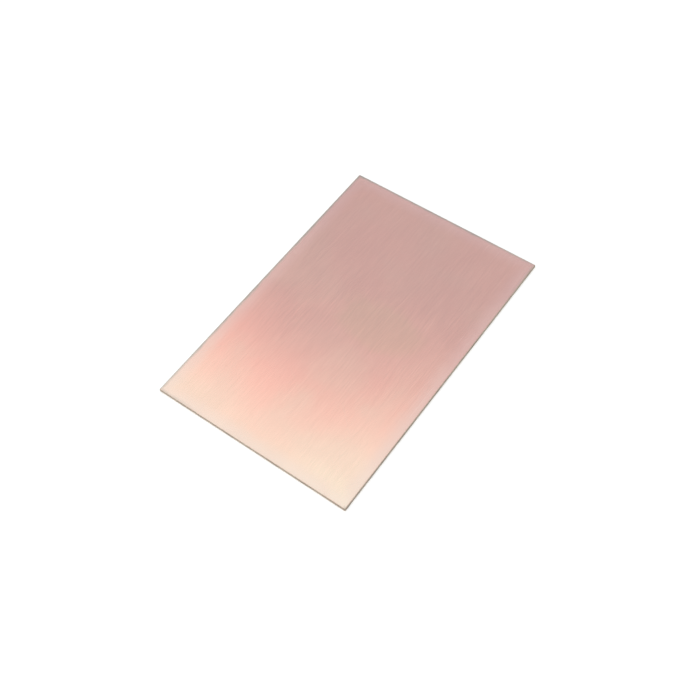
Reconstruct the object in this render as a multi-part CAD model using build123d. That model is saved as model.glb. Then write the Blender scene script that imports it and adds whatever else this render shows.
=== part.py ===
from build123d import *

import os

# A single-sided copper clad board: one sheet of copper foil bonded to a glass-epoxy core.
# Millimetres. The origin is the middle of the bare underside, +X runs across the width,
# +Y along the length, and +Z out of the copper face. The board lies on its bare face.

# Driving dimensions
board_width = 100.0
board_length = 150.0
board_thickness = 1.5  # core and foil together
foil_thickness = 0.035  # one-ounce copper
corner_radius = 0.5  # the sawn corners, blunted in plan
copper_edge_bevel = 0.4  # deburring round the copper face, through the foil and into the core
bare_edge_bevel = 0.1  # a lighter deburring round the bare face

core_thickness = board_thickness - foil_thickness


def outer_loop(solid, side):
    """The edges round one flat face: side is -1 for the copper face and 0 for the bare face."""
    return solid.edges().group_by(Axis.Z)[side]


def pressed_board():
    """The board as it is sawn and deburred: a slab with blunted corners and bevelled faces."""
    slab = extrude(RectangleRounded(board_width, board_length, corner_radius), board_thickness)
    slab = chamfer(outer_loop(slab, -1), copper_edge_bevel)
    return chamfer(outer_loop(slab, 0), bare_edge_bevel)


def glass_epoxy_core(board):
    """The laminate under the foil, which shows on the bare face, the sides and most of the bevel."""
    return split(board, Plane.XY.offset(core_thickness), keep=Keep.BOTTOM)


def copper_foil(board):
    """The foil on top of the core, bevelled with it, so that the two rims run on from each other."""
    return split(board, Plane.XY.offset(core_thickness), keep=Keep.TOP)


def main():
    os.makedirs("parts", exist_ok=True)
    board = pressed_board()
    nodes = {
        "glass_epoxy_core": glass_epoxy_core(board),
        "copper_foil": copper_foil(board),
    }
    for name, solid in nodes.items():
        export_step(solid, f"parts/{name}.step")


main()
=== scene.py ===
from math import cos, radians, sin

import bpy
import numpy as np
from mathutils import Matrix, Vector


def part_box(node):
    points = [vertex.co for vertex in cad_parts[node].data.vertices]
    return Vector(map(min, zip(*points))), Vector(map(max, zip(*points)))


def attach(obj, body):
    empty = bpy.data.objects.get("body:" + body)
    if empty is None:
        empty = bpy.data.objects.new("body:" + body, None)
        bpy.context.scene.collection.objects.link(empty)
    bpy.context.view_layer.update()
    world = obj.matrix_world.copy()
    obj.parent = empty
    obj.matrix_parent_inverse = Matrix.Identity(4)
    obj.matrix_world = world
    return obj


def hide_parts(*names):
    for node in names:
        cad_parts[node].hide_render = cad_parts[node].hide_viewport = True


mm = 0.001  # metres in a millimetre

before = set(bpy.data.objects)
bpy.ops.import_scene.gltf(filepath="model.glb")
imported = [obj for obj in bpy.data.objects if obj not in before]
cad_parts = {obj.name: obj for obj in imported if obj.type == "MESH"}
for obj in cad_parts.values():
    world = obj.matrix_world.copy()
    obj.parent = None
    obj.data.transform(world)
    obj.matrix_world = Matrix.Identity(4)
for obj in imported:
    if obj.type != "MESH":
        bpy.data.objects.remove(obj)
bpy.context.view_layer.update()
coreHigh = np.array(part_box("glass_epoxy_core")[1]) / mm
foilLow, foilHigh = (np.array(corner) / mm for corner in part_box("copper_foil"))
halfWidth, halfLength, coreTop = coreHigh
boardTop = foilHigh[2]
print("frame loaded: a board of", np.round(coreHigh[:2] * 2, 2), "mm")

# camera, surroundings and floor

cameraView = {
    "azimuth": 39.13,  # degrees round the board from its front end
    "elevation": 56.93,
    "roll": -3.94,
    "distance": 477.0,  # mm from the point aimed at
    "aim": (6.64, -11.56),  # mm from the board's middle, on the copper face
    "lens": 55.55,
    "nearClip": 10.0,  # mm
}


def orbitDirection(azimuth, elevation):
    # unit vector from the board towards a place at that azimuth and elevation
    a, e = radians(azimuth), radians(elevation)
    return Vector((sin(a) * cos(e), -cos(a) * cos(e), sin(e)))


def makeCamera(view):
    back = orbitDirection(view["azimuth"], view["elevation"])
    aim = Vector((*view["aim"], boardTop))
    camera = bpy.data.objects.new("camera", bpy.data.cameras.new("camera"))
    bpy.context.scene.collection.objects.link(camera)
    camera.data.lens = view["lens"]
    camera.data.clip_start = view["nearClip"] * mm
    look = (-back).to_track_quat("-Z", "Y").to_matrix().to_4x4()
    roll = Matrix.Rotation(radians(view["roll"]), 4, "Z")
    camera.matrix_world = Matrix.Translation((aim + back * view["distance"]) * mm) @ look @ roll
    bpy.context.scene.camera = camera
    return camera


# small helpers for node trees


def addNode(tree, kind, **settings):
    node = tree.nodes.new(kind)
    for name, value in settings.items():
        setattr(node, name, value)
    return node


def feed(tree, socket, value):
    # a socket is linked, anything else is typed in
    if isinstance(value, bpy.types.NodeSocket):
        tree.links.new(value, socket)
    else:
        socket.default_value = value


def maths(tree, operation, *values, clamp=False):
    node = addNode(tree, "ShaderNodeMath", operation=operation, use_clamp=clamp)
    for socket, value in zip(node.inputs, values):
        feed(tree, socket, value)
    return node.outputs[0]


def vectorMaths(tree, operation, *values):
    node = addNode(tree, "ShaderNodeVectorMath", operation=operation)
    for socket, value in zip(node.inputs, values):
        feed(tree, socket, value)
    return node.outputs["Value" if operation in ("DOT_PRODUCT", "LENGTH") else "Vector"]


def scaled(tree, vector, by):
    node = addNode(tree, "ShaderNodeVectorMath", operation="SCALE")
    feed(tree, node.inputs[0], vector)
    feed(tree, node.inputs["Scale"], by)
    return node.outputs[0]


def remap(tree, value, fromLow, fromHigh, toLow=0.0, toHigh=1.0):
    # a smooth step from toLow to toHigh
    node = addNode(tree, "ShaderNodeMapRange", interpolation_type="SMOOTHSTEP")
    for name, given in (
        ("Value", value),
        ("From Min", fromLow),
        ("From Max", fromHigh),
        ("To Min", toLow),
        ("To Max", toHigh),
    ):
        feed(tree, node.inputs[name], given)
    return node.outputs["Result"]


def mixColours(tree, amount, first, second):
    # inputs 6 and 7 and output 2 are the node's colour sockets
    node = addNode(tree, "ShaderNodeMix", data_type="RGBA")
    feed(tree, node.inputs[0], amount)
    for socket, value in zip((node.inputs[6], node.inputs[7]), (first, second)):
        feed(tree, socket, (*value, 1.0) if isinstance(value, tuple) else value)
    return node.outputs[2]


def noise(tree, vector, scale, detail=2.0, roughness=0.5, distortion=0.0):
    node = addNode(tree, "ShaderNodeTexNoise")
    feed(tree, node.inputs["Vector"], vector)
    node.inputs["Scale"].default_value = scale
    node.inputs["Detail"].default_value = detail
    node.inputs["Roughness"].default_value = roughness
    node.inputs["Distortion"].default_value = distortion
    return node.outputs["Fac"]


surroundings = {
    "wall": (0.612, 0.616, 0.705),  # the cool room that the board's far end mirrors
    "glow": (1.14, 0.82, 0.865),  # the lamp's soft border
    "lamp": (1.01, 1.57, 1.53),  # the large overhead lamp that the near end mirrors
    "overhead": (0.98, 0.86, 0.82),  # past the lamp
    "horizon": (0.98, 0.96, 0.93),
    "lowWall": (0.60, 0.58, 0.57),
    "lowWallFrom": 0.30,  # heights on the unit sphere between which the tones follow each other
    "lowWallTo": 0.38,
    "wallFrom": 0.64,
    "lampEdge": -38.0,  # mm along the board at which the lamp's edge is mirrored in its middle
    "lampLifts": ((23.5, 3.0, 48.0), (7.0, -4.0, -34.0)),  # mm further up, between places across
    "glowRise": (22.0, -10.0),  # mm past the edge from nothing to full
    "lampRise": (-9.0, -51.0),
    "lampFall": (-110.0, -240.0),
    "darkSide": (0.51, 0.47, 0.46),  # the low room to the board's right, against the rest
    "darkSideOver": (-0.2, 0.7),  # x on the unit sphere from none of it to all
    "brightFront": (1.76, 1.95, 2.05),  # and the low room in front of it
    "brightFrontOver": (-0.7, -0.1),  # y on the unit sphere from all of it to none
    "panels": 5,  # tall soft panels that stand round the low room
    "panelDepth": 0.28,  # how much they brighten and darken it
    "panelTurn": 0.8,  # radians
    "flattest": 0.02,  # directions lower than this are laid out as if this high
    "cameraSees": (1.0, 1.0, 1.0),
}


def makeSurroundings(camera, s):
    # the world is laid out by where the copper face mirrors it: from the eye, a direction d is
    # seen at eye + height * d / d.z, and how far that lies past the lamp's edge sets its colour
    world = bpy.data.worlds.new("surroundings")
    bpy.context.scene.world = world
    world.use_nodes = True
    tree = world.node_tree
    tree.nodes.clear()
    eye = camera.matrix_world.translation / mm
    direction = addNode(tree, "ShaderNodeTexCoord").outputs["Generated"]
    split = addNode(tree, "ShaderNodeSeparateXYZ")
    feed(tree, split.inputs[0], direction)
    dx, dy, dz = split.outputs
    reach = maths(tree, "DIVIDE", eye.z - boardTop, maths(tree, "MAXIMUM", dz, s["flattest"]))
    across = maths(tree, "MULTIPLY_ADD", dx, reach, eye.x)
    along = maths(tree, "MULTIPLY_ADD", dy, reach, eye.y)
    past = maths(tree, "SUBTRACT", along, s["lampEdge"])
    for lift, start, end in s["lampLifts"]:
        past = maths(tree, "SUBTRACT", past, remap(tree, across, start, end, 0.0, lift))
    low = mixColours(tree, remap(tree, dz, 0.0, s["lowWallFrom"]), s["horizon"], s["lowWall"])
    side = mixColours(tree, remap(tree, dx, *s["darkSideOver"]), (1.0, 1.0, 1.0), s["darkSide"])
    toBack = remap(tree, dy, *s["brightFrontOver"])
    front = mixColours(tree, toBack, s["brightFront"], (1.0, 1.0, 1.0))
    low = vectorMaths(tree, "MULTIPLY", low, vectorMaths(tree, "MULTIPLY", side, front))
    heading = maths(tree, "ARCTAN2", dx, dy)
    panels = maths(tree, "SINE", maths(tree, "MULTIPLY_ADD", heading, s["panels"], s["panelTurn"]))
    panels = maths(tree, "MULTIPLY_ADD", panels, s["panelDepth"], 1.0)
    low = scaled(tree, low, panels)
    lit = mixColours(tree, remap(tree, past, *s["lampRise"]), s["glow"], s["lamp"])
    lit = mixColours(tree, remap(tree, past, *s["lampFall"]), lit, s["overhead"])
    high = mixColours(tree, remap(tree, past, *s["glowRise"]), s["wall"], lit)
    colour = mixColours(tree, remap(tree, dz, s["lowWallTo"], s["wallFrom"]), low, high)
    rays = addNode(tree, "ShaderNodeLightPath")
    shown = mixColours(tree, rays.outputs["Is Camera Ray"], colour, s["cameraSees"])
    background = addNode(tree, "ShaderNodeBackground")
    feed(tree, background.inputs["Color"], shown)
    output = addNode(tree, "ShaderNodeOutputWorld")
    feed(tree, output.inputs["Surface"], background.outputs[0])


floorLook = {
    "size": 6000.0,  # mm
    "colour": (0.86, 0.86, 0.86),
    "cameraLift": 0.36,  # added for the camera, so that the floor reads as white paper
}


def makeFloor(look):
    half = look["size"] / 2 * mm
    corners = [(-half, -half, 0.0), (half, -half, 0.0), (half, half, 0.0), (-half, half, 0.0)]
    mesh = bpy.data.meshes.new("floor")
    mesh.from_pydata(corners, [], [(0, 1, 2, 3)])
    floor = bpy.data.objects.new("floor", mesh)
    bpy.context.scene.collection.objects.link(floor)
    material = bpy.data.materials.new("paperFloor")
    material.use_nodes = True
    tree = material.node_tree
    tree.nodes.clear()
    paper = addNode(tree, "ShaderNodeBsdfDiffuse")
    paper.inputs["Color"].default_value = (*look["colour"], 1.0)
    rays = addNode(tree, "ShaderNodeLightPath")
    lift = addNode(tree, "ShaderNodeEmission")
    seen = maths(tree, "MULTIPLY", rays.outputs["Is Camera Ray"], look["cameraLift"])
    feed(tree, lift.inputs["Strength"], seen)
    both = addNode(tree, "ShaderNodeAddShader")
    feed(tree, both.inputs[0], paper.outputs[0])
    feed(tree, both.inputs[1], lift.outputs[0])
    output = addNode(tree, "ShaderNodeOutputMaterial")
    feed(tree, output.inputs["Surface"], both.outputs[0])
    mesh.materials.append(material)


camera = makeCamera(cameraView)
makeSurroundings(camera, surroundings)
makeFloor(floorLook)
print("camera, surroundings and floor made")

# the board's surfaces

boardForm = {
    "cornerRadius": 0.5,  # mm, in plan, at the widest place
    "cornerStops": (1.0, 0.8, 0.55, 0.28),  # grid lines inside a corner, in radii from its centre
    "rimInsets": (0.35, 0.8, 1.6, 3.0),  # mm in from the corner's centre, then even steps
    "step": 2.0,  # mm between grid lines over the face
    "sharpFrom": 25.0,  # degrees between two faces from which their edge is shaded sharp
}
faceWaves = {  # the long shallow hollows of a pressed sheet
    # each wave's height, its lengths across and along in mm, and its turn
    "waves": ((0.009, 74.0, 118.0, 0.6), (0.006, -51.0, 83.0, 2.1), (0.005, 160.0, -46.0, 4.0)),
    "flatRim": 9.0,  # mm in from the edge over which they die out
}


def gridStops(half, form):
    # one direction's grid lines as (place, turn): place lies between the two corner centres, and
    # turn runs from 0 at a corner's centre to 1 or -1 at the board's edge
    straight = half - form["cornerRadius"]
    insets = np.array(form["rimInsets"])
    count = int(round(2 * (straight - insets[-1]) / form["step"]))
    even = np.linspace(insets[-1] - straight, straight - insets[-1], count + 1)
    nearCorner = insets[:-1] - straight
    middle = np.concatenate([[-straight], nearCorner, even, -nearCorner[::-1], [straight]])
    stops = np.array(form["cornerStops"])
    place = np.concatenate([np.full(len(stops), -straight), middle, np.full(len(stops), straight)])
    turn = np.concatenate([-stops, np.zeros(len(middle)), stops[::-1]])
    return place, turn


def faceWave(x, y, waves):
    # the sum of a few plane waves, each height * (sin(2 pi (x / across + y / along) + turn) - 1),
    # so that none stands proud, times a smooth step that brings it to nothing at the board's edge
    total = np.zeros_like(x)
    for height, across, along, turn in waves["waves"]:
        total += height * (np.sin(2 * np.pi * (x / across + y / along) + turn) - 1)
    inset = np.minimum(halfWidth - abs(x), halfLength - abs(y))
    t = np.clip(inset / waves["flatRim"], 0, 1)
    return total * t * t * (3 - 2 * t)


bakeMap = {  # where the two faces and the four walls lie on a piece's UV map
    # each rectangle's left, bottom, width and height
    "shown": (0.010, 0.010, 0.650, 0.975),
    "hidden": (0.825, 0.010, 0.160, 0.240),
    "wall": (0.675, 0.010, 0.030, 0.975),
    "nextWall": 0.035,
}


def outlineSteps(outline, rows, columns):
    # each step round the outline: its side of the board, from 0 to 3, and the shares of that
    # side's length at which it starts and ends, (length so far - side's start) / side's length
    steps = np.linalg.norm(np.roll(outline, -1, axis=0) - outline, axis=1)
    sides = np.repeat([0, 1, 2, 3], [columns - 1, rows - 1, columns - 1, rows - 1])
    lengths = np.bincount(sides, steps)
    begins = np.concatenate([[0], np.cumsum(lengths)[:-1]])
    before = np.concatenate([[0], np.cumsum(steps)[:-1]])
    start = (before - begins[sides]) / lengths[sides]
    return sides, start, start + steps / lengths[sides]


def layBakeMap(mesh, quads, wallRows, place, sides, alongStart, alongEnd, showTop):
    # a face's u and v are its x and y, shrunk to its rectangle; each wall is an upright strip
    # whose v runs along the board's side and whose u runs down the profile
    def onFace(corners, rectangle):
        left, bottom, width, height = rectangle
        share = place[corners] / (2 * np.array([halfWidth, halfLength])) + 0.5
        return share * [width, height] + [left, bottom]

    left, bottom, width, height = bakeMap["wall"]
    down = np.arange(wallRows + 1)[:, None] / wallRows * width
    u = left + bakeMap["nextWall"] * sides + down
    start, end = (np.tile(bottom + height * along, (wallRows, 1)) for along in (alongStart, alongEnd))
    corners = ((u[1:], start), (u[1:], end), (u[:-1], end), (u[:-1], start))
    strips = np.stack([np.stack(corner, -1) for corner in corners], 2).reshape(-1, 4, 2)
    upper, under = ("shown", "hidden") if showTop else ("hidden", "shown")
    uv = [onFace(quads[0], bakeMap[upper]), strips, onFace(quads[1], bakeMap[under])]
    layer = mesh.uv_layers.new(name="OFBake")
    layer.uv.foreach_set("vector", np.concatenate(uv).astype(np.float32).ravel())


def boardShell(name, profile, waveTop, waveBottom, materials, rimMaterial, showTop):
    # a closed slab: two face grids, whose corner squares are bent to quarter discs by
    # (a, b) -> (a sqrt(1 - b b / 2), b sqrt(1 - a a / 2)), joined by loops round the outline.
    # profile is (inset, height) from the top face's edge down to the bottom face's edge.
    placeX, turnX = gridStops(halfWidth, boardForm)
    placeY, turnY = gridStops(halfLength, boardForm)
    px, py = np.meshgrid(placeX, placeY)
    a, b = np.meshgrid(turnX, turnY)
    bentX, bentY = a * np.sqrt(1 - b * b / 2), b * np.sqrt(1 - a * a / 2)
    rows, columns = px.shape
    inset, height = np.array(profile).T
    radius = boardForm["cornerRadius"] - inset

    def face(r, z, waved):
        x, y = px + r * bentX, py + r * bentY
        z = z + (faceWave(x, y, faceWaves) if waved else np.zeros_like(x))
        return np.stack([x, y, z], -1).reshape(-1, 3)

    index = np.arange(rows * columns).reshape(rows, columns)
    rim = np.concatenate([index[0, :-1], index[:-1, -1], index[-1, :0:-1], index[:0:-1, 0]])
    rimX, rimY, outX, outY = (v.ravel()[rim] for v in (px, py, bentX, bentY))
    r = radius[1:-1, None]
    loopHeight = height[1:-1, None] + np.zeros(len(rim))
    loops = np.stack([rimX + r * outX, rimY + r * outY, loopHeight], -1)
    topFace = face(radius[0], height[0], waveTop)
    bottomFace = face(radius[-1], height[-1], waveBottom)
    points = np.concatenate([topFace, loops.reshape(-1, 3), bottomFace])

    lowerFace = rows * columns + loops.shape[0] * len(rim)
    between = rows * columns + np.arange(loops.shape[0] * len(rim)).reshape(loops.shape[0], -1)
    rings = np.vstack([rim[None], between, rim[None] + lowerFace])
    quad = np.stack([index[:-1, :-1], index[:-1, 1:], index[1:, 1:], index[1:, :-1]], -1).reshape(-1, 4)
    ahead = np.roll(rings, -1, axis=1)
    wall = np.stack([rings[1:], ahead[1:], ahead[:-1], rings[:-1]], -1).reshape(-1, 4)
    faces = np.concatenate([quad, wall, quad[:, ::-1] + lowerFace])

    mesh = bpy.data.meshes.new(name)
    mesh.vertices.add(len(points))
    mesh.vertices.foreach_set("co", (points * mm).astype(np.float32).ravel())
    mesh.loops.add(faces.size)
    mesh.loops.foreach_set("vertex_index", faces.astype(np.int32).ravel())
    mesh.polygons.add(len(faces))
    mesh.polygons.foreach_set("loop_start", np.arange(0, faces.size, 4, dtype=np.int32))
    for material in materials:
        mesh.materials.append(material)
    slots = np.zeros(len(faces), np.int32)
    slots[len(quad):len(quad) + len(wall)] = rimMaterial
    mesh.polygons.foreach_set("material_index", slots)
    mesh.update(calc_edges=True)
    widest = np.stack([rimX + radius.max() * outX, rimY + radius.max() * outY], -1)
    quads = (quad, quad[:, ::-1] + lowerFace)
    steps = outlineSteps(widest, rows, columns)
    layBakeMap(mesh, quads, len(rings) - 1, points[:, :2], *steps, showTop)
    mesh.shade_smooth()
    mesh.set_sharp_from_angle(angle=radians(boardForm["sharpFrom"]))
    piece = bpy.data.objects.new(name, mesh)
    bpy.context.scene.collection.objects.link(piece)
    return piece


# shader groups that more than one finish uses


def newGroup(name, inputs, outputs):
    tree = bpy.data.node_groups.new(name, "ShaderNodeTree")
    for label, kind, value in inputs:
        socket = tree.interface.new_socket(label, in_out="INPUT", socket_type="NodeSocket" + kind)
        if value is not None:
            socket.default_value = value
    for label, kind in outputs:
        tree.interface.new_socket(label, in_out="OUTPUT", socket_type="NodeSocket" + kind)
    return tree, addNode(tree, "NodeGroupInput").outputs, addNode(tree, "NodeGroupOutput").inputs


def useGroup(tree, group, **values):
    node = addNode(tree, "ShaderNodeGroup", node_tree=group)
    for label, value in values.items():
        feed(tree, node.inputs[label], value)
    return node.outputs


def glassWeaveGroup():
    # plain weave: with a = sin(pi x / warp) and b = sin(pi y / weft), the warp is on top where a b
    # is positive, and each crossing is a pillow, |across| ^ crown * |along| ^ blunt
    crown, blunt = 0.9, 0.4
    tree, given, out = newGroup(
        "glassWeave",
        [("Place", "Vector", None), ("Warp", "Float", 0.6), ("Weft", "Float", 0.8)],
        [("Height", "Float"), ("WarpOnTop", "Float")],
    )
    split = addNode(tree, "ShaderNodeSeparateXYZ")
    feed(tree, split.inputs[0], given["Place"])
    waves = []
    for axis, pitch in (("X", "Warp"), ("Y", "Weft")):
        turns = maths(tree, "DIVIDE", split.outputs[axis], given[pitch])
        waves.append(maths(tree, "SINE", maths(tree, "MULTIPLY", turns, np.pi)))
    warp, weft = (maths(tree, "ABSOLUTE", wave) for wave in waves)
    onTop = maths(tree, "GREATER_THAN", maths(tree, "MULTIPLY", *waves), 0.0)
    pillows = []
    for across, along in ((warp, weft), (weft, warp)):
        ends = maths(tree, "POWER", along, blunt)
        pillows.append(maths(tree, "MULTIPLY", maths(tree, "POWER", across, crown), ends))
    lower = maths(tree, "MULTIPLY", maths(tree, "SUBTRACT", 1.0, onTop), pillows[1])
    feed(tree, out["Height"], maths(tree, "MULTIPLY_ADD", onTop, pillows[0], lower))
    feed(tree, out["WarpOnTop"], onTop)
    return tree


def drawnGrainGroup():
    # fine streaks: noise squeezed across the streaks and drawn out along them
    coarseShare = 0.6
    streakLimits = (0.35, 0.68)  # noise values
    tree, given, out = newGroup(
        "drawnGrain",
        [("Place", "Vector", None), ("Stretch", "Vector", (1.0, 1.0, 1.0)), ("Fine", "Float", 1.0)],
        [("Height", "Float"), ("Streaks", "Float")],
    )
    place = vectorMaths(tree, "MULTIPLY", given["Place"], given["Stretch"])
    coarse = noise(tree, place, 1.0, detail=3.0, roughness=0.6)
    fine = noise(tree, scaled(tree, place, given["Fine"]), 1.0, detail=2.0)
    rest = maths(tree, "MULTIPLY", fine, 1 - coarseShare)
    feed(tree, out["Height"], maths(tree, "MULTIPLY_ADD", coarse, coarseShare, rest))
    feed(tree, out["Streaks"], remap(tree, coarse, *streakLimits))
    return tree


hairlineForm = {
    "bendScale": 0.03,  # per mm
    "bend": 3.0,  # mm
    "laneShift": 7.0,  # the most runs by which a lane is shifted along
    "middle": (0.3, 0.4),  # a line's least place across its lane, and the spread beyond that
    "tips": (0.02, 0.16),  # t (1 - t) over which a line's ends fade in
    "faintest": 0.3,
}


def hairlineGroup(form):
    # scratches: the surface is cut into lanes and each lane into runs, a random share of the runs
    # holds one line, and the line lies at a random place and lean in its run and tapers at its ends
    tree, given, out = newGroup(
        "hairlines",
        [
            ("Place", "Vector", None),
            ("Slant", "Float", 0.5),
            ("Lane", "Float", 6.0),
            ("Run", "Float", 30.0),
            ("Width", "Float", 0.1),
            ("Share", "Float", 0.3),
        ],
        [("Mask", "Float")],
    )
    turned = addNode(tree, "ShaderNodeVectorRotate", rotation_type="Z_AXIS")
    feed(tree, turned.inputs["Vector"], given["Place"])
    feed(tree, turned.inputs["Angle"], given["Slant"])
    split = addNode(tree, "ShaderNodeSeparateXYZ")
    feed(tree, split.inputs[0], turned.outputs[0])
    bend = noise(tree, given["Place"], form["bendScale"], detail=1.0)
    bend = maths(tree, "MULTIPLY", bend, form["bend"])
    lane = maths(tree, "DIVIDE", maths(tree, "ADD", split.outputs["X"], bend), given["Lane"])
    laneNumber = maths(tree, "FLOOR", lane)
    offset = addNode(tree, "ShaderNodeTexWhiteNoise", noise_dimensions="1D")
    feed(tree, offset.inputs["W"], laneNumber)
    run = maths(tree, "DIVIDE", split.outputs["Y"], given["Run"])
    run = maths(tree, "MULTIPLY_ADD", offset.outputs["Value"], form["laneShift"], run)
    cell = addNode(tree, "ShaderNodeCombineXYZ")
    feed(tree, cell.inputs[0], laneNumber)
    feed(tree, cell.inputs[1], maths(tree, "FLOOR", run))
    dice = addNode(tree, "ShaderNodeTexWhiteNoise", noise_dimensions="2D")
    feed(tree, dice.inputs["Vector"], cell.outputs[0])
    chance = addNode(tree, "ShaderNodeSeparateColor")
    feed(tree, chance.inputs[0], dice.outputs["Color"])
    where, lean, drawn = chance.outputs
    onRun = maths(tree, "FRACT", run)
    fromHalfway = maths(tree, "SUBTRACT", onRun, 0.5)
    slope = maths(tree, "MULTIPLY", fromHalfway, maths(tree, "SUBTRACT", lean, 0.5))
    least, spread = form["middle"]
    middle = maths(tree, "MULTIPLY_ADD", where, spread, maths(tree, "ADD", slope, least))
    off = maths(tree, "ABSOLUTE", maths(tree, "SUBTRACT", maths(tree, "FRACT", lane), middle))
    line = remap(tree, maths(tree, "MULTIPLY", off, given["Lane"]), 0.0, given["Width"], 1.0, 0.0)
    tip = maths(tree, "MULTIPLY", onRun, maths(tree, "SUBTRACT", 1.0, onRun))
    line = maths(tree, "MULTIPLY", line, remap(tree, tip, *form["tips"]))
    shown = maths(tree, "LESS_THAN", drawn, given["Share"])
    faint = form["faintest"]
    line = maths(tree, "MULTIPLY", line, maths(tree, "MULTIPLY_ADD", lean, 1 - faint, faint))
    feed(tree, out["Mask"], maths(tree, "MULTIPLY", line, shown))
    return tree


def smudgeGroup():
    # soft clouds of two sizes, which hands and stacking leave
    cloudLimits, mottleLimits = (0.34, 0.68), (0.35, 0.7)  # noise values
    mottleFiner = 9.0
    tree, given, out = newGroup(
        "smudges",
        [("Place", "Vector", None), ("Size", "Float", 22.0)],
        [("Clouds", "Float"), ("Mottle", "Float")],
    )
    near = scaled(tree, given["Place"], maths(tree, "DIVIDE", 1.0, given["Size"]))
    clouds = noise(tree, near, 1.0, detail=4.0, roughness=0.5, distortion=0.5)
    feed(tree, out["Clouds"], remap(tree, clouds, *cloudLimits))
    mottle = noise(tree, near, mottleFiner, detail=3.0)
    feed(tree, out["Mottle"], remap(tree, mottle, *mottleLimits))
    return tree


def rimGroup():
    # Mask is 1 at the board's edge and falls to 0 a set way in, and noise makes its inner border
    # uneven; Corner does the same from the four corners
    borderScale = 0.22
    tree, given, out = newGroup(
        "rim",
        [("Place", "Vector", None), ("Band", "Float", 3.0), ("Uneven", "Float", 0.5)],
        [("Mask", "Float"), ("Corner", "Float")],
    )
    split = addNode(tree, "ShaderNodeSeparateXYZ")
    feed(tree, split.inputs[0], given["Place"])
    insets = []
    for axis, half in (("X", halfWidth), ("Y", halfLength)):
        outward = maths(tree, "ABSOLUTE", split.outputs[axis])
        insets.append(maths(tree, "SUBTRACT", float(half), outward))
    inset = maths(tree, "MINIMUM", *insets)
    wander = maths(tree, "SUBTRACT", noise(tree, given["Place"], borderScale, detail=3.0), 0.5)
    inset = maths(tree, "MULTIPLY_ADD", wander, given["Uneven"], inset)
    feed(tree, out["Mask"], remap(tree, inset, 0.0, given["Band"], 1.0, 0.0))
    corner = maths(tree, "MULTIPLY_ADD", wander, given["Uneven"], maths(tree, "MAXIMUM", *insets))
    feed(tree, out["Corner"], remap(tree, corner, 0.0, given["Band"], 1.0, 0.0))
    return tree


weaveGroup = glassWeaveGroup()
grainGroup = drawnGrainGroup()
scratchGroup = hairlineGroup(hairlineForm)
cloudGroup = smudgeGroup()
edgeGroup = rimGroup()
print("shader groups made")

# finishes


def newFinish(name, **settings):
    material = bpy.data.materials.new(name)
    material.use_nodes = True
    tree = material.node_tree
    shader = tree.nodes["Principled BSDF"]
    for label, value in settings.items():
        shader.inputs[label].default_value = value
    coordinates = addNode(tree, "ShaderNodeTexCoord").outputs["Object"]
    return material, tree, shader.inputs, scaled(tree, coordinates, 1 / mm)  # in millimetres


def addBump(tree, shader, height):
    # height is in millimetres
    bump = addNode(tree, "ShaderNodeBump")
    bump.inputs["Strength"].default_value = 1.0
    bump.inputs["Distance"].default_value = mm
    feed(tree, bump.inputs["Height"], height)
    feed(tree, shader["Normal"], bump.outputs[0])


glassCloth = {  # mm from yarn to yarn
    "warp": 0.58,
    "weft": 0.81,
}


def addWeave(tree, place):
    return useGroup(tree, weaveGroup, Place=place, Warp=glassCloth["warp"], Weft=glassCloth["weft"])


copperFinish = {
    "bright": (0.950, 0.580, 0.465),
    "dull": (0.925, 0.590, 0.470),  # faint tarnish in soft clouds
    "dullScale": 0.021,  # per mm
    "dullLimits": (0.42, 0.66),  # noise values
    "pale": (0.955, 0.625, 0.540),  # lighter and less red, in the wider streaks and in an uneven band along the edges
    "scuffed": (0.46, 0.40, 0.355),  # the foil's very edge, dulled by the file and the air, and darker along the far edges as painted shade
    "stain": (0.930, 0.605, 0.460),  # one beige stain, its place and its reach in mm
    "stainPlace": (10.0, 6.0, 0.0),
    "stainReach": (26.0, 15.0, 1000.0),
    "stainUneven": 0.35,  # in reaches
    "stainBorder": (0.65, 1.25),  # reaches from all of it to none
    "polish": 0.14,  # roughness, which the next five add to
    "smudged": 0.04,
    "streaked": 0.025,
    "rimRougher": 0.07,
    "scratchRougher": 0.10,
    "scuffRougher": 0.18,
    "grainStretch": (9.0, 0.09, 1.0),  # per mm across, along and down
    "grainFine": 2.3,
    "grainHeight": 0.0006,  # mm
    "weaveHeight": 0.0006,
    "scratchDepth": 0.0007,
    "smudgeSize": 24.0,
    "streakTint": 0.07,  # how far the wider streaks go to pale
    "fineTint": 0.04,  # how far the finest streaks darken
    "fineLift": 0.034,  # and lighten
    "fineLimits": (0.36, 0.62),  # noise values
    "edgeBand": 9.0,  # mm
    "edgeUneven": 3.0,
    "edgeTint": 0.8,
    "scuffBand": 1.9,  # mm
    "scuffUneven": 1.5,
    "cornerScuffed": 0.6,
    "farEdgeShade": (0.05, 0.95),  # share of the dark band along the near edges and the far ones; its rise to the far edges is painted shade
    "farEdgeShadeTurn": (-0.3, 0.3),  # between them, where -1 is the front right corner, 1 the back left
    "hairlines": (  # slant in radians, lane, run and width in mm, share of runs scratched
        (0.55, 8.0, 34.0, 0.09, 0.24),
        (-1.05, 13.0, 21.0, 0.08, 0.24),
        (0.03, 1.9, 27.0, 0.05, 0.24),
    ),
}


def addHairlines(tree, place, sets):
    # the strongest of several sets of scratches
    total = 0.0
    for slant, lane, run, width, share in sets:
        values = {"Slant": slant, "Lane": lane, "Run": run, "Width": width, "Share": share}
        marks = useGroup(tree, scratchGroup, Place=place, **values)
        total = maths(tree, "MAXIMUM", total, marks["Mask"])
    return total


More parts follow.
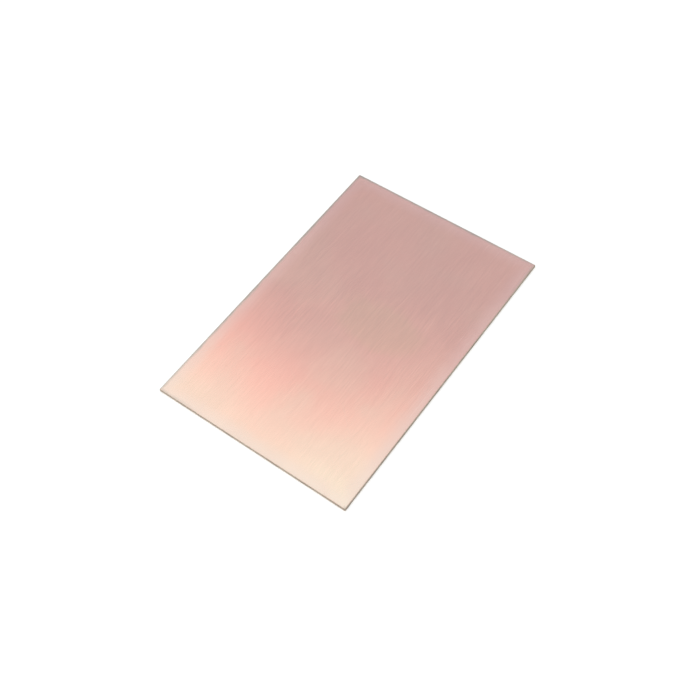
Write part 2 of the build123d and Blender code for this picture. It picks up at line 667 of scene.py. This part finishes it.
def copperMaterial(f):
    material, tree, shader, place = newFinish("satinCopper", Metallic=1.0)
    grain = useGroup(tree, grainGroup, Place=place, Stretch=f["grainStretch"], Fine=f["grainFine"])
    weave = addWeave(tree, place)
    smudges = useGroup(tree, cloudGroup, Place=place, Size=f["smudgeSize"])
    edge = useGroup(tree, edgeGroup, Place=place, Band=f["edgeBand"], Uneven=f["edgeUneven"])
    scuff = useGroup(tree, edgeGroup, Place=place, Band=f["scuffBand"], Uneven=f["scuffUneven"])
    # the dark band grows from the near edges to the far ones: painted shade where the far edges mirror
    # the dark room, over real wear at the edges and corners
    toBackLeft = (-0.5 / float(halfWidth), 0.5 / float(halfLength), 0.0)
    backLeft = vectorMaths(tree, "DOT_PRODUCT", place, toBackLeft)
    spread = remap(tree, backLeft, *f["farEdgeShadeTurn"], *f["farEdgeShade"])
    scuffed = maths(tree, "MULTIPLY", scuff["Mask"], spread)
    cornerScuff = maths(tree, "MULTIPLY", scuff["Corner"], f["cornerScuffed"])
    scuffed = maths(tree, "MAXIMUM", scuffed, cornerScuff)
    scratches = addHairlines(tree, place, f["hairlines"])
    cloud = noise(tree, place, f["dullScale"], detail=2.0, distortion=0.4)
    cloud = remap(tree, cloud, *f["dullLimits"])
    colour = mixColours(tree, cloud, f["bright"], f["dull"])
    fromStain = vectorMaths(tree, "SUBTRACT", place, f["stainPlace"])
    away = vectorMaths(tree, "LENGTH", vectorMaths(tree, "DIVIDE", fromStain, f["stainReach"]))
    away = maths(tree, "MULTIPLY_ADD", smudges["Clouds"], f["stainUneven"], away)
    stained = remap(tree, away, *f["stainBorder"], 1.0, 0.0)
    colour = mixColours(tree, stained, colour, f["stain"])
    streaks = maths(tree, "MULTIPLY", grain["Streaks"], f["streakTint"])
    colour = mixColours(tree, streaks, colour, f["pale"])
    fine = remap(tree, grain["Height"], *f["fineLimits"], 1 - f["fineTint"], 1 + f["fineLift"])
    colour = scaled(tree, colour, fine)
    rim = maths(tree, "MULTIPLY", edge["Mask"], f["edgeTint"])
    colour = mixColours(tree, rim, colour, f["pale"])
    feed(tree, shader["Base Color"], mixColours(tree, scuffed, colour, f["scuffed"]))
    rough = maths(tree, "MULTIPLY_ADD", smudges["Clouds"], f["smudged"], f["polish"])
    rough = maths(tree, "MULTIPLY_ADD", scuffed, f["scuffRougher"], rough)
    rough = maths(tree, "MULTIPLY_ADD", grain["Streaks"], f["streaked"], rough)
    rough = maths(tree, "MULTIPLY_ADD", edge["Mask"], f["rimRougher"], rough)
    rough = maths(tree, "MULTIPLY_ADD", scratches, f["scratchRougher"], rough)
    feed(tree, shader["Roughness"], rough)
    height = maths(tree, "MULTIPLY", grain["Height"], f["grainHeight"])
    height = maths(tree, "MULTIPLY_ADD", weave["Height"], f["weaveHeight"], height)
    height = maths(tree, "MULTIPLY_ADD", scratches, -f["scratchDepth"], height)
    addBump(tree, shader, height)
    return material


laminateFinish = {
    "resin": (0.52, 0.48, 0.27),  # greenish straw
    "glass": (0.68, 0.64, 0.44),  # where a yarn lies near the surface
    "weft": (0.60, 0.57, 0.37),
    "scuffed": (0.74, 0.72, 0.60),  # in the scratches
    "scratchTint": 0.5,
    "smudgeSize": 30.0,  # mm
    "smudgeTint": 0.22,
    "edgeBand": 1.6,  # mm over which the edge is frayed
    "edgeUneven": 1.2,
    "edgeTint": 0.4,
    "polish": 0.34,  # roughness, which the next three add to
    "mottled": 0.12,
    "scratchRougher": 0.3,
    "rimRougher": 0.2,
    "weaveHeight": 0.006,  # mm
    "grainStretch": (0.9, 0.12, 1.0),  # per mm across, along and down
    "grainFine": 2.4,
    "grainHeight": 0.0012,
    "hairlines": ((-0.8, 6.0, 26.0, 0.10, 0.35), (0.4, 9.0, 40.0, 0.08, 0.3)),
}


def bareFaceMaterial(f):
    material, tree, shader, place = newFinish("bareLaminate", IOR=1.52)
    weave = addWeave(tree, place)
    smudges = useGroup(tree, cloudGroup, Place=place, Size=f["smudgeSize"])
    grain = useGroup(tree, grainGroup, Place=place, Stretch=f["grainStretch"], Fine=f["grainFine"])
    edge = useGroup(tree, edgeGroup, Place=place, Band=f["edgeBand"], Uneven=f["edgeUneven"])
    scratches = addHairlines(tree, place, f["hairlines"])
    yarn = mixColours(tree, weave["WarpOnTop"], f["weft"], f["glass"])
    colour = mixColours(tree, weave["Height"], f["resin"], yarn)
    smudged = maths(tree, "MULTIPLY", smudges["Clouds"], f["smudgeTint"])
    colour = mixColours(tree, smudged, colour, f["resin"])
    frayed = maths(tree, "MULTIPLY", edge["Mask"], f["edgeTint"])
    colour = mixColours(tree, frayed, colour, f["glass"])
    marks = maths(tree, "MULTIPLY", scratches, f["scratchTint"])
    feed(tree, shader["Base Color"], mixColours(tree, marks, colour, f["scuffed"]))
    rough = maths(tree, "MULTIPLY_ADD", smudges["Mottle"], f["mottled"], f["polish"])
    rough = maths(tree, "MULTIPLY_ADD", scratches, f["scratchRougher"], rough)
    rough = maths(tree, "MULTIPLY_ADD", edge["Mask"], f["rimRougher"], rough)
    feed(tree, shader["Roughness"], rough)
    height = maths(tree, "MULTIPLY", weave["Height"], f["weaveHeight"])
    height = maths(tree, "MULTIPLY_ADD", grain["Height"], f["grainHeight"], height)
    addBump(tree, shader, height)
    return material


sawnFinish = {
    "resin": (0.60, 0.47, 0.36),
    "glass": (0.86, 0.74, 0.63),  # yarns cut across, and fibres broken white
    "seam": (0.36, 0.27, 0.19),  # resin between the plies
    "runnerTint": 0.55,  # the yarns that run along the wall, in the glass's colour
    "seamTint": 0.55,
    "dust": (0.86, 0.76, 0.66),
    "dustTint": 0.4,
    "grime": (0.30, 0.23, 0.17),
    "grimeShare": 0.42,  # in stretches along the wall
    "grimeScale": 0.12,  # per mm
    "grimeLimits": (0.42, 0.66),  # noise values
    "smudgeSize": 7.0,  # mm
    "smudgeShare": 0.15,
    "cornerReach": 1.6,  # mm
    "cornerUneven": 0.8,
    "cornerShare": 0.35,
    "filed": (0.25, 0.22, 0.18),  # the bevel under the foil, partly greyed by the file and partly painted shade that draws the dark line along the edges
    "filedAndShadedFrom": (0.52, 0.38),  # mm below the foil between which the grey and the painted shade come in
    "filedPatchy": (0.38, 0.62, 0.9, 0.4),  # from saw marks of these heights to these shares
    "smeared": (0.76, 0.57, 0.46),  # copper that the file drew down over the bevel
    "smearedFrom": (0.30, 0.12),
    "smearUneven": 0.16,
    "plies": 8,
    "plyShift": 0.37,  # turns by which each ply's yarns lie past those of the ply under it
    "yarnHalf": (0.40, 0.30),  # a yarn end's half width and height, in turns and plies
    "yarnBorder": (0.55, 1.25),  # where its edge fades out
    "dullestYarn": 0.35,
    "runnerSwing": 0.34,  # how far the yarns along the wall go up and down, in plies
    "runnerBorder": (0.04, 0.17),
    "seamFrom": 0.40,  # plies from a ply's middle
    "wander": 0.28,  # mm between the furthest strays of a ply or a yarn
    "wanderScale": 0.9,  # per mm
    "sawStretch": (3.2, 3.2, 0.7),  # per mm across, along and down
    "sawFine": 3.7,
    "roughness": 0.72,
    "yarnRougher": 0.12,
    "seamDepth": 0.010,  # mm
    "yarnHeight": 0.008,
    "sawHeight": 0.03,
}


def sawnEdgeMaterial(f):
    # each ply is a row of lens-shaped yarn ends, (side / a)^2 + (up / b)^2 < 1, shifted from row
    # to row, with a second yarn along the wall, up = swing sin(pi turns), over and under them
    material, tree, shader, place = newFinish("sawnLaminate", IOR=1.52)
    astray = addNode(tree, "ShaderNodeTexNoise")
    feed(tree, astray.inputs["Vector"], place)
    astray.inputs["Scale"].default_value = f["wanderScale"]
    shift = vectorMaths(tree, "SUBTRACT", astray.outputs["Color"], (0.5, 0.5, 0.5))
    moved = vectorMaths(tree, "ADD", place, scaled(tree, shift, f["wander"]))
    split = addNode(tree, "ShaderNodeSeparateXYZ")
    feed(tree, split.inputs[0], moved)
    x, y, z = split.outputs
    sideIn = maths(tree, "SUBTRACT", float(halfWidth), maths(tree, "ABSOLUTE", x))
    endIn = maths(tree, "SUBTRACT", float(halfLength), maths(tree, "ABSOLUTE", y))
    onEnd = maths(tree, "LESS_THAN", endIn, sideIn)
    endTurns = maths(tree, "DIVIDE", x, glassCloth["warp"])
    sideTurns = maths(tree, "DIVIDE", y, glassCloth["weft"])
    turns = maths(tree, "SUBTRACT", endTurns, sideTurns)
    turns = maths(tree, "MULTIPLY_ADD", turns, onEnd, sideTurns)
    ply = maths(tree, "DIVIDE", z, float(coreTop) / f["plies"])
    row = maths(tree, "FLOOR", ply)
    turns = maths(tree, "MULTIPLY_ADD", row, f["plyShift"], turns)
    up = maths(tree, "SUBTRACT", maths(tree, "FRACT", ply), 0.5)
    side = maths(tree, "SUBTRACT", maths(tree, "FRACT", turns), 0.5)
    wide, tall = (
        maths(tree, "POWER", maths(tree, "DIVIDE", maths(tree, "ABSOLUTE", way), half), 2.0)
        for way, half in zip((side, up), f["yarnHalf"])
    )
    yarn = remap(tree, maths(tree, "ADD", wide, tall), *f["yarnBorder"], 1.0, 0.0)
    swing = maths(tree, "SINE", maths(tree, "MULTIPLY", turns, np.pi))
    runner = maths(tree, "ABSOLUTE", maths(tree, "MULTIPLY_ADD", swing, -f["runnerSwing"], up))
    runner = remap(tree, runner, *f["runnerBorder"], 1.0, 0.0)
    cell = addNode(tree, "ShaderNodeCombineXYZ")
    feed(tree, cell.inputs[0], maths(tree, "FLOOR", turns))
    feed(tree, cell.inputs[1], row)
    dice = addNode(tree, "ShaderNodeTexWhiteNoise", noise_dimensions="2D")
    feed(tree, dice.inputs["Vector"], cell.outputs[0])
    least = f["dullestYarn"]
    cleanCut = maths(tree, "MULTIPLY_ADD", dice.outputs["Value"], 1 - least, least)
    seam = remap(tree, maths(tree, "ABSOLUTE", up), f["seamFrom"], 0.5)
    saw = useGroup(tree, grainGroup, Place=place, Stretch=f["sawStretch"], Fine=f["sawFine"])
    smudges = useGroup(tree, cloudGroup, Place=place, Size=f["smudgeSize"])
    colour = mixColours(tree, maths(tree, "MULTIPLY", yarn, cleanCut), f["resin"], f["glass"])
    for mask, share, tone in (
        (runner, "runnerTint", "glass"),
        (seam, "seamTint", "seam"),
        (saw["Streaks"], "dustTint", "dust"),
    ):
        colour = mixColours(tree, maths(tree, "MULTIPLY", mask, f[share]), colour, f[tone])
    grime = noise(tree, place, f["grimeScale"], detail=3.0, roughness=0.6)
    grime = remap(tree, grime, *f["grimeLimits"], 0.0, f["grimeShare"])
    grime = maths(tree, "MULTIPLY_ADD", smudges["Mottle"], f["smudgeShare"], grime)
    worn = useGroup(tree, edgeGroup, Place=place, Band=f["cornerReach"], Uneven=f["cornerUneven"])
    grime = maths(tree, "MULTIPLY_ADD", worn["Corner"], f["cornerShare"], grime, clamp=True)
    colour = mixColours(tree, grime, colour, f["grime"])
    # the bevel is darkened: partly the file's grey, partly painted shade for the dark line along the
    # edges
    below = maths(tree, "SUBTRACT", float(coreTop), z)
    filed = remap(tree, below, *f["filedAndShadedFrom"])
    patchy = remap(tree, saw["Height"], *f["filedPatchy"])
    colour = mixColours(tree, maths(tree, "MULTIPLY", filed, patchy), colour, f["filed"])
    smear = maths(tree, "MULTIPLY_ADD", saw["Height"], f["smearUneven"], below)
    colour = mixColours(tree, remap(tree, smear, *f["smearedFrom"]), colour, f["smeared"])
    feed(tree, shader["Base Color"], colour)
    rough = maths(tree, "MULTIPLY_ADD", yarn, f["yarnRougher"], f["roughness"])
    feed(tree, shader["Roughness"], rough)
    height = maths(tree, "MULTIPLY", seam, -f["seamDepth"])
    height = maths(tree, "MULTIPLY_ADD", yarn, f["yarnHeight"], height)
    height = maths(tree, "MULTIPLY_ADD", saw["Height"], f["sawHeight"], height)
    addBump(tree, shader, height)
    return material


copper = copperMaterial(copperFinish)
bareLaminate = bareFaceMaterial(laminateFinish)
sawnLaminate = sawnEdgeMaterial(sawnFinish)
print("finishes made")

# the two pieces

foilForm = {  # how the bevel through the foil has its two arrises just broken
    "arris": 0.2,  # how far in the upper one starts, as a share of the foil's thickness
    "arrisOut": 0.4,  # how far out and down its next point lies, as shares of that
    "arrisDown": 0.3,
    "lowerArris": 0.3,
}
coreForm = {
    "lowerBevel": 0.1,  # mm, the light deburring round the bare face
    "softArris": 0.012,  # mm, how far the wall's corners are broken
    "wallLoops": 5,
}
upperBevel = coreHigh[0] - foilHigh[0]  # the part of the copper face's bevel that is in the core


def foilProfile(form):
    # up the 45 degree bevel, inset = upperBevel + height over the foil's underside
    low = foilLow[2]
    thick = boardTop - low
    soft = form["arris"] * thick
    lower = form["lowerArris"] * soft
    return [
        (upperBevel + thick + soft, boardTop),
        (upperBevel + thick - form["arrisOut"] * soft, boardTop - form["arrisDown"] * soft),
        (upperBevel + lower, low + lower),
        (upperBevel, low),
    ]


def coreProfile(form):
    # the 45 degree bevel under the foil, inset = upperBevel - depth, the sawn wall with its
    # arrises just broken, and the lower bevel, inset = lowerBevel - height
    soft, lowerBevel = form["softArris"], form["lowerBevel"]
    wallTop = coreTop - upperBevel
    wallStops = np.linspace(wallTop - soft, lowerBevel + soft, form["wallLoops"])
    return [
        (upperBevel, coreTop),
        (0.5 * upperBevel, coreTop - 0.5 * upperBevel),
        (soft, wallTop + soft),
        *((0.0, height) for height in wallStops),
        (soft, lowerBevel - soft),
        (lowerBevel, 0.0),
    ]


skin = boardShell("copper_skin", foilProfile(foilForm), True, True, [copper], 0, True)
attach(skin, "root")
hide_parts("copper_foil")

laminates = [bareLaminate, sawnLaminate]
core = boardShell("laminate_core", coreProfile(coreForm), True, False, laminates, 1, False)
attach(core, "root")
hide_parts("glass_epoxy_core")
print("pieces made")

bpy.context.scene.view_settings.view_transform = "Standard"
